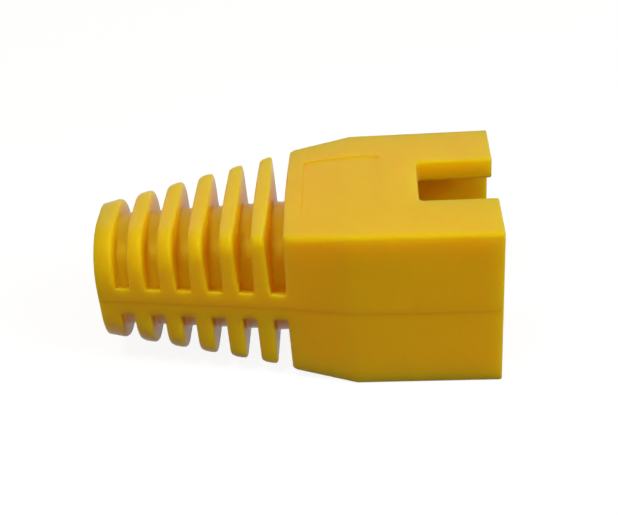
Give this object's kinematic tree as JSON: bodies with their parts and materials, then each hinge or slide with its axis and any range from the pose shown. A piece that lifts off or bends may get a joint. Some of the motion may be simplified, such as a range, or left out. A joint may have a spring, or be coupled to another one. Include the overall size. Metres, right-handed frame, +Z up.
{
  "type": "modular plug strain relief boot",
  "caption": "Soft strain relief boot for a modular plug: a hollow sleeve with a latch slot, tapering into a ribbed tail round the cable.",
  "frame": {"origin": "centre of the round cable hole at the cable end face, on the cable axis", "axes": "+X along the cable axis from the cable end to the plug end, +Z up towards the latch slot, +Y across the boot"},
  "size_m": [0.0282, 0.0142, 0.0124],
  "materials": {
    "boot_plastic": "soft yellow moulded PVC, satin, slightly translucent at the edges"
  },
  "bodies": {
    "root": {"boot": "boot_plastic"}
  },
  "joints": []
}
